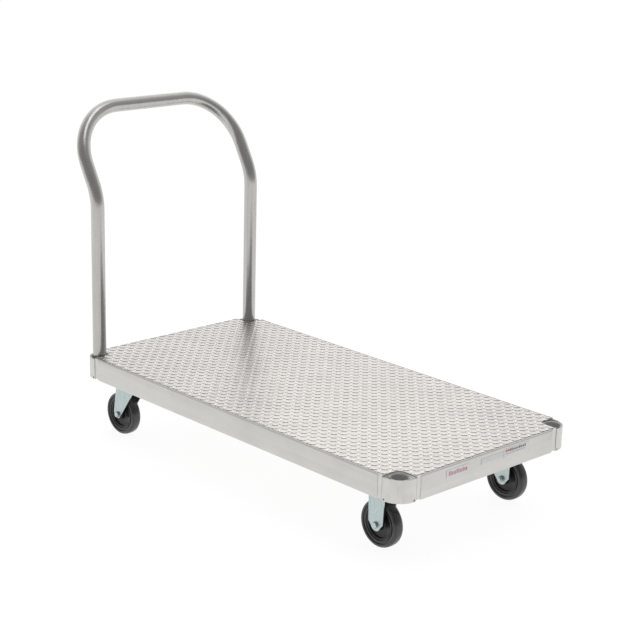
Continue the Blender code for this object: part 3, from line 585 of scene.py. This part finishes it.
def handle_path():
    """The tube's centre line: up one leg, over in the lean bend, across the top and down again."""
    low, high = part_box("handle_tube")
    leg_x = high.x - TUBE_RADIUS
    leg_y = high.y - TUBE_RADIUS
    start = LEAN_START - low.z
    total = start + LEAN_TO_TOP
    flat = [(-leg_y, 0.0), (-leg_y, start * 0.5)]
    lean = LEAN_RADIUS * LEAN_ANGLE
    flat += [(-leg_y, start + lean * i / LEAN_STEPS) for i in range(LEAN_STEPS + 1)]
    bend = (-leg_y + TOP_BEND_RADIUS, total - TOP_BEND_RADIUS)
    flat += arc(bend, TOP_BEND_RADIUS, math.pi, math.pi / 2, TOP_STEPS)
    flat += [(-y, s) for y, s in reversed(flat)]
    reach = LEAN_RADIUS * (1 - math.cos(LEAN_ANGLE))
    points = []
    for y, s in flat:
        over = s - start
        rest = over - lean
        if over <= 0:
            x, z = 0.0, s
        elif rest <= 0:
            x = -LEAN_RADIUS * (1 - math.cos(over / LEAN_RADIUS))
            z = start + LEAN_RADIUS * math.sin(over / LEAN_RADIUS)
        else:
            x = -reach - rest * math.sin(LEAN_ANGLE)
            z = start + LEAN_RADIUS * math.sin(LEAN_ANGLE) + rest * math.cos(LEAN_ANGLE)
        points.append(Vector((leg_x + x, y, low.z + z)))
    return points


def sweep(points, radii, sides):
    """Rings of a round section carried along a path, one set for each radius."""
    directions = []
    for i in range(len(points)):
        before = points[max(0, i - 1)]
        after = points[min(len(points) - 1, i + 1)]
        directions.append((after - before).normalized())
    normal = Vector((1.0, 0.0, 0.0))
    frames = []
    for direction in directions:
        normal = (normal - direction * normal.dot(direction)).normalized()
        frames.append((normal.copy(), direction.cross(normal)))
    vertices = []
    for radius in radii:
        for point, (first, second) in zip(points, frames):
            for k in range(sides):
                angle = 2 * math.pi * k / sides
                across = first * (radius * math.cos(angle)) + second * (radius * math.sin(angle))
                vertices.append(point + across)
    return vertices


def build_handle():
    """One hollow bent tube: outer wall, inner wall and the two cut ends."""
    points = handle_path()
    sides = TUBE_SIDES
    vertices = sweep(points, (TUBE_RADIUS, TUBE_RADIUS - TUBE_WALL), sides)
    count = len(points)
    faces = []
    for shell in (0, 1):
        for i in range(count - 1):
            for k in range(sides):
                following = (k + 1) % sides
                a = (shell * count + i) * sides
                b = a + sides
                face = (a + k, a + following, b + following, b + k)
                faces.append(face if shell == 0 else face[::-1])
    for end, flip in ((0, True), (count - 1, False)):
        outer = end * sides
        inner = (count + end) * sides
        for k in range(sides):
            following = (k + 1) % sides
            face = (outer + k, outer + following, inner + following, inner + k)
            faces.append(face[::-1] if flip else face)
    mesh = mesh_of("handle_tube_fine", vertices, faces, ROUND_SHARP)
    add_piece("handle_tube_fine", mesh, TUBE_METAL, "handle", replaces=("handle_tube",))


# ----------------------------------------------------------------- casters


def axis_matrix(position, axis):
    """A frame at the position whose Z lies along the axis."""
    return Matrix.Translation(position) @ Vector(axis).to_track_quat("Z", "Y").to_matrix().to_4x4()


def tyre_profile():
    """The tyre's section: bead, dished sidewall, shoulder rib and a gently crowned tread."""
    half = TREAD_HALF
    band = WHEEL_RADIUS - TYRE_BASE
    side = [
        (TYRE_BASE, half * 0.66),
        (TYRE_BASE + band * 0.07, half * 0.70),
        (TYRE_BASE + band * 0.11, half * 0.88),
        (TYRE_BASE + band * 0.21, half * 0.90),
        (TYRE_BASE + band * 0.26, half * 0.74),
        (TYRE_BASE + band * 0.46, half * 0.78),
        (TYRE_BASE + band * 0.52, half * 0.96),
        (TYRE_BASE + band * 0.62, half),
        (TYRE_BASE + band * 0.72, half * 0.985),
        (TYRE_BASE + band * 0.755, half * 0.945),
        (TYRE_BASE + band * 0.80, half * 0.95),
        (TYRE_BASE + band * 0.88, half * 0.86),
        (TYRE_BASE + band * 0.925, half * 0.76),
        (TYRE_BASE + band * 0.915, half * 0.71),
        (TYRE_BASE + band * 0.955, half * 0.66),
        (TYRE_BASE + band * 0.99, half * 0.42),
    ]
    return side + [(WHEEL_RADIUS, 0.0)] + [(radius, -height) for radius, height in reversed(side)]


def core_profile():
    """The core's section: hub with a rounded face, thin web and a raised rim."""
    rim = TYRE_BASE - CORE_GAP
    side = [
        (HUB_BORE, HUB_HALF - 0.0004),
        (HUB_BORE + 0.0004, HUB_HALF),
        (HUB_RADIUS - 0.0037, HUB_HALF),
        (HUB_RADIUS - 0.0027, HUB_HALF - 0.0009),
        (HUB_RADIUS - 0.0011, WEB_HALF + 0.0016),
        (HUB_RADIUS + 0.0007, WEB_HALF),
        (rim - 0.0066, WEB_HALF),
        (rim - 0.0044, WEB_HALF + 0.0010),
        (rim - 0.0034, RIM_HALF - 0.0007),
        (rim - 0.0024, RIM_HALF),
        (rim, RIM_HALF),
    ]
    return side + [(radius, -height) for radius, height in reversed(side)]


def build_wheel(prefix):
    """Tyre and core, turned in their own frame and set on the wheel's axis."""
    joint = JOINTS[f"{prefix}_wheel_spin"]
    matrix = axis_matrix(joint["pos_m"], joint["axis"])
    body = f"{prefix}_wheel"
    tyre = lathe(f"{prefix}_tyre_fine", tyre_profile(), TYRE_STEPS)
    core = lathe(f"{prefix}_core_fine", core_profile(), CORE_STEPS)
    for mesh, material, slot, node in (
        (tyre, RUBBER, "tyre_rubber", "tyre"),
        (core, CORE_PLASTIC, "wheel_core", "wheel_core"),
    ):
        obj = add_piece(mesh.name, mesh, material, body, replaces=(f"{prefix}_{node}",))
        obj.matrix_world = matrix


def hex_piece(name, flats, height, matrix):
    """A hexagonal head or nut with a chamfered crown, its foot at the matrix's origin."""
    radius = flats / math.sqrt(3)
    sides = range(HEX_SIDES)
    vertices, faces = [], []
    for share, rise in HEX_RINGS:
        for k in sides:
            angle = k * math.pi / 3
            reach = radius * share
            place = Vector((reach * math.cos(angle), reach * math.sin(angle), height * rise))
            vertices.append(matrix @ place)
    for level in range(len(HEX_RINGS) - 1):
        for k in sides:
            following = (k + 1) % HEX_SIDES
            low = level * HEX_SIDES
            high = low + HEX_SIDES
            faces.append((low + k, low + following, high + following, high + k))
    faces.append([HEX_SIDES - 1 - k for k in sides])
    faces.append([(len(HEX_RINGS) - 1) * HEX_SIDES + k for k in sides])
    return mesh_of(name, vertices, faces)


def build_plate_bolts(prefix, node):
    """Four bolts up through the caster's plate and the channel, each with its nut inside."""
    low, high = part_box(node)
    middle = (low + high) / 2
    under = high.z - MOUNT_PLATE
    down = Matrix.Rotation(math.pi, 4, "X")
    above = high.z + CHANNEL_WALL
    for index, (along, across) in enumerate(((-1, -1), (-1, 1), (1, -1), (1, 1))):
        x = middle.x + along * BOLT_SPACING_X / 2
        y = middle.y + across * BOLT_SPACING_Y / 2
        foot = Matrix.Translation((x, y, under)) @ down
        head = hex_piece(f"{prefix}_bolt_{index}", BOLT_FLATS, BOLT_HEAD, foot)
        add_piece(head.name, head, ZINC_METAL, "platform")
        seat = Matrix.Translation((x, y, above))
        nut = hex_piece(f"{prefix}_nut_{index}", BOLT_FLATS, BOLT_HEAD, seat)
        add_piece(nut.name, nut, ZINC_METAL, "platform")


def build_casters():
    """Wheels, plate bolts, rigid brackets and swivel heads of the four casters."""
    for prefix in ("front_right", "front_left", "rear_right", "rear_left"):
        build_wheel(prefix)
    for prefix in ("front_right", "front_left"):
        soften(f"{prefix}_bracket", ZINC_METAL, PLATE_ROUNDING)
        build_plate_bolts(prefix, f"{prefix}_bracket")
    for prefix in ("rear_right", "rear_left"):
        build_plate_bolts(prefix, f"{prefix}_top_plate")
        for part in ("top_plate", "fork", "kingpin", "upper_race", "lower_race"):
            soften(f"{prefix}_{part}", ZINC_METAL, SMALL_ROUNDING)
    for prefix in ("front_right", "front_left", "rear_right", "rear_left"):
        for part in ("axle_bolt", "axle_nut", "bush"):
            soften(f"{prefix}_{part}", ZINC_METAL, BOLT_ROUNDING)


# --------------------------------------------------------------- platform


def build_platform():
    """Edge rails, corner castings, cross members and caster channels."""
    for node in ("side_rail_right", "side_rail_left"):
        soften(node, RAIL_METAL, RAIL_ROUNDING)
    for node in ("end_rail_front", "end_rail_rear"):
        soften(node, END_METAL, RAIL_ROUNDING)
    for node in ("corner_front_right", "corner_front_left", "corner_rear_right", "corner_rear_left"):
        build_corner(node)
    for index in (1, 2, 3):
        soften(f"cross_member_{index}", CROSS_METAL, PLATE_ROUNDING)
    for node in ("caster_channel_front", "caster_channel_rear"):
        soften(node, CROSS_METAL, PLATE_ROUNDING)


def socket_place(corner):
    """The socket's centre line and the level of its mouth."""
    low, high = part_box(corner)
    x = high.x - SOCKET_INSET if low.x > CENTRE_X else low.x + SOCKET_INSET
    y = high.y - SOCKET_INSET if high.y > 0 else low.y + SOCKET_INSET
    return x, y, high.z - RIM_DROP


def build_corner(corner):
    """The casting with soft edges, a wide flare round the socket's mouth and a duller bore."""
    obj = soften(corner, CAST_METAL, RAIL_ROUNDING)
    x, y, top = socket_place(corner)
    bm = bmesh.new()
    bm.from_mesh(obj.data)

    def on_mouth(vertex):
        radius = math.hypot(vertex.co.x - x, vertex.co.y - y)
        return abs(vertex.co.z - top) < NEAR and abs(radius - SOCKET_BORE) < NEAR

    mouth = [edge for edge in bm.edges if all(on_mouth(vertex) for vertex in edge.verts)]
    bmesh.ops.bevel(bm, geom=mouth, offset=MOUTH_CHAMFER, segments=3, profile=0.5, affect="EDGES")
    obj.data.materials.append(BORE_METAL)
    for face in bm.faces:
        middle = face.calc_center_median()
        if middle.z < top + NEAR and math.hypot(middle.x - x, middle.y - y) < SOCKET_BORE + MOUTH_CHAMFER:
            face.material_index = 1
    bm.to_mesh(obj.data)
    bm.free()


def weld_bead(start, end, first, second):
    """A fillet bead of overlapping ripples along a line, in the corner of two unit directions."""
    along = end - start
    halves = 2 * max(2, round(along.length / WELD_STEP))
    vertices, faces = [], []
    for i in range(halves + 1):
        ripple = 1.0 if i % 2 else WELD_VALLEY
        reach = WELD_SIZE * ripple * (WELD_TAPER if i in (0, halves) else 1.0)
        centre = start + along * (i / halves) - (first + second) * (WELD_SIZE * WELD_SINK)
        for k in range(WELD_SIDES):
            angle = math.pi / 2 * k / (WELD_SIDES - 1)
            bulge = reach * (1.0 + WELD_CROWN * math.sin(2 * angle))
            skin = first * (bulge * math.cos(angle)) + second * (bulge * math.sin(angle))
            vertices.append(centre + skin)
        vertices.append(centre)
    ring = WELD_SIDES + 1
    for i in range(halves):
        for k in range(ring):
            a, b = i * ring + k, i * ring + (k + 1) % ring
            faces.append((a, b, b + ring, a + ring))
    faces.append(list(range(ring))[::-1])
    faces.append([halves * ring + k for k in range(ring)])
    return vertices, faces


def joined(name, parts):
    """Several loose shapes as one mesh with its faces turned out."""
    vertices, faces = [], []
    for part_vertices, part_faces in parts:
        start = len(vertices)
        vertices += part_vertices
        faces += [[start + index for index in face] for face in part_faces]
    mesh = mesh_of(name, vertices, faces, WELD_SHARP)
    bm = bmesh.new()
    bm.from_mesh(mesh)
    bmesh.ops.recalc_face_normals(bm, faces=bm.faces)
    bm.to_mesh(mesh)
    bm.free()
    return mesh


def build_welds():
    """Beads where the cross members and the caster channels meet the side rails' walls."""
    members = ("cross_member_1", "cross_member_2", "cross_member_3")
    for node in (*members, "caster_channel_front", "caster_channel_rear"):
        low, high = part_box(node)
        parts = []
        for side in (-1.0, 1.0):
            wall = side * (PLATE_HIGH.y + PLATE_INSET - RAIL_WALL)
            inward = Vector((0.0, -side, 0.0))
            for face, outward in ((low.x, -1.0), (high.x, 1.0)):
                under_deck = min(high.z, PLATE_LOW.z - DECK_SKIN)
                foot = Vector((face, wall, low.z + WELD_FOOT))
                top = Vector((face, wall, under_deck - WELD_TOP_GAP))
                parts.append(weld_bead(foot, top, Vector((outward, 0.0, 0.0)), inward))
        mesh = joined(f"{node}_welds", parts)
        add_piece(mesh.name, mesh, WELD_METAL, "platform")


def marks(name, label, ink, spans):
    """Thin blocks on a label's face; spans are (left, right, bottom, top) shares of the label."""
    low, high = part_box(label)
    face = high.x
    vertices, faces = [], []
    for left, right, bottom, top in spans:
        y = [low.y + (high.y - low.y) * share for share in (left, right)]
        z = [low.z + (high.z - low.z) * share for share in (bottom, top)]
        start = len(vertices)
        for x in (face - PRINT_PROUD, face + PRINT_PROUD):
            vertices += [(x, y[0], z[0]), (x, y[1], z[0]), (x, y[1], z[1]), (x, y[0], z[1])]
        quads = [(3, 2, 1, 0), (4, 5, 6, 7)]
        quads += [(k, (k + 1) % 4, (k + 1) % 4 + 4, k + 4) for k in range(4)]
        faces += [[start + index for index in quad] for quad in quads]
    add_piece(name, mesh_of(name, vertices, faces), ink, "platform")


def bar_row(count, left, right, bottom, top, gap_share):
    """A row of plain bars of uneven width and height, standing for print that can't be read."""
    pitch = (right - left) / count
    spans = []
    for index in range(count):
        start = left + index * pitch
        width = pitch * (1 - gap_share) * random.uniform(0.75, 1.0)
        lift = (top - bottom) * random.choice((0.0, 0.0, 0.22))
        spans.append((start, start + width, bottom, top - lift))
    return spans


def build_labels():
    """Label films on their CAD nodes, with plain marks where print would be."""
    films = {"label_small": LABEL_FILM, "label_clear": CLEAR_FILM, "label_marked": LABEL_FILM}
    for node, material in films.items():
        NODES[node].data.materials.clear()
        NODES[node].data.materials.append(material)
    marks("label_small_print", "label_small", INK_RED, bar_row(12, 0.10, 0.94, 0.26, 0.78, 0.30))
    marks("label_marked_first", "label_marked", INK_RED, bar_row(2, 0.05, 0.20, 0.62, 0.88, 0.12))
    marks("label_marked_print", "label_marked", INK_DARK, bar_row(9, 0.21, 0.88, 0.60, 0.90, 0.22))
    marks("label_marked_lines", "label_marked", INK_DARK, bar_row(14, 0.06, 0.86, 0.36, 0.46, 0.45))


# ---------------------------------------------------------- stage and light


def build_floor():
    """A large pale floor with a soft glow of its own."""
    bm = bmesh.new()
    bmesh.ops.create_grid(bm, x_segments=1, y_segments=1, size=FLOOR_HALF)
    mesh = bpy.data.meshes.new("floor")
    bm.to_mesh(mesh)
    bm.free()
    graph = Graph("floor_pale")
    mottle = graph.noise(graph.coordinates(), 1.5, 2.0, 0.5)
    colour = graph.mix(graph.spread(mottle, 0.0, 1.0), (0.15, 0.15, 0.15), (0.17, 0.17, 0.17))
    graph.shader.inputs["Emission Color"].default_value = (1.0, 1.0, 1.0, 1.0)
    graph.shader.inputs["Emission Strength"].default_value = FLOOR_GLOW
    mesh.materials.append(graph.set(colour=colour, roughness=0.9, metallic=0.0, specular=0.0))
    floor = bpy.data.objects.new("floor", mesh)
    bpy.context.scene.collection.objects.link(floor)


def area_light(name, position, size, power):
    """A rectangular light aimed at the cart."""
    light = bpy.data.lights.new(name, "AREA")
    light.shape = "RECTANGLE"
    light.size, light.size_y = size
    light.energy = power
    obj = bpy.data.objects.new(name, light)
    obj.location = position
    obj.rotation_euler = (Vector(LIGHT_TARGET) - Vector(position)).to_track_quat("-Z", "Y").to_euler()
    bpy.context.scene.collection.objects.link(obj)


def build_light():
    """A room that brightens behind the cart, a small key beyond it and a wide fill above."""
    world = bpy.data.worlds.new("studio")
    bpy.context.scene.world = world
    world.use_nodes = True
    tree = world.node_tree
    background = tree.nodes["Background"]
    direction = tree.nodes.new("ShaderNodeTexCoord")
    facing = tree.nodes.new("ShaderNodeVectorMath")
    facing.operation = "DOT_PRODUCT"
    facing.inputs[1].default_value = (math.sin(CAMERA_AZIMUTH), -math.cos(CAMERA_AZIMUTH), 0.0)
    share = tree.nodes.new("ShaderNodeMapRange")
    share.inputs["From Min"].default_value = -1.0
    ramp = tree.nodes.new("ShaderNodeValToRGB")
    while len(ramp.color_ramp.elements) < len(STUDIO_RAMP):
        ramp.color_ramp.elements.new(0.5)
    for element, (place, grey) in zip(ramp.color_ramp.elements, STUDIO_RAMP):
        element.position = place
        element.color = (grey, grey, grey, 1.0)
    tree.links.new(direction.outputs["Generated"], facing.inputs[0])
    tree.links.new(facing.outputs["Value"], share.inputs["Value"])
    tree.links.new(share.outputs["Result"], ramp.inputs["Fac"])
    tree.links.new(ramp.outputs["Color"], background.inputs["Color"])
    background.inputs["Strength"].default_value = STUDIO_STRENGTH
    area_light("key", KEY_PLACE, KEY_SIZE, KEY_POWER)
    area_light("fill", FILL_PLACE, FILL_SIZE, FILL_POWER)


def build_camera():
    """The camera, turned about its own axis by the roll."""
    azimuth, elevation, roll = CAMERA_AZIMUTH, CAMERA_ELEVATION, CAMERA_ROLL
    back = Vector(
        (
            math.sin(azimuth) * math.cos(elevation),
            -math.cos(azimuth) * math.cos(elevation),
            math.sin(elevation),
        )
    )
    right = Vector((math.cos(azimuth), math.sin(azimuth), 0.0))
    up = back.cross(right)
    turned_right = right * math.cos(roll) + up * math.sin(roll)
    turned_up = up * math.cos(roll) - right * math.sin(roll)
    place = Vector(CAMERA_TARGET) + Vector((CENTRE_X, 0.0, 0.0)) + back * CAMERA_DISTANCE
    matrix = Matrix((turned_right, turned_up, back)).transposed().to_4x4()
    matrix.translation = place
    camera = bpy.data.cameras.new("camera")
    camera.lens = LENS
    camera.sensor_width = SENSOR_WIDTH
    camera.clip_end = CAMERA_REACH
    obj = bpy.data.objects.new("camera", camera)
    obj.matrix_world = matrix
    bpy.context.scene.collection.objects.link(obj)
    bpy.context.scene.camera = obj
    bpy.context.scene.view_settings.view_transform = "Standard"


build_deck()
build_platform()
build_handle()
build_casters()
build_labels()
build_welds()
build_floor()
build_light()
build_camera()
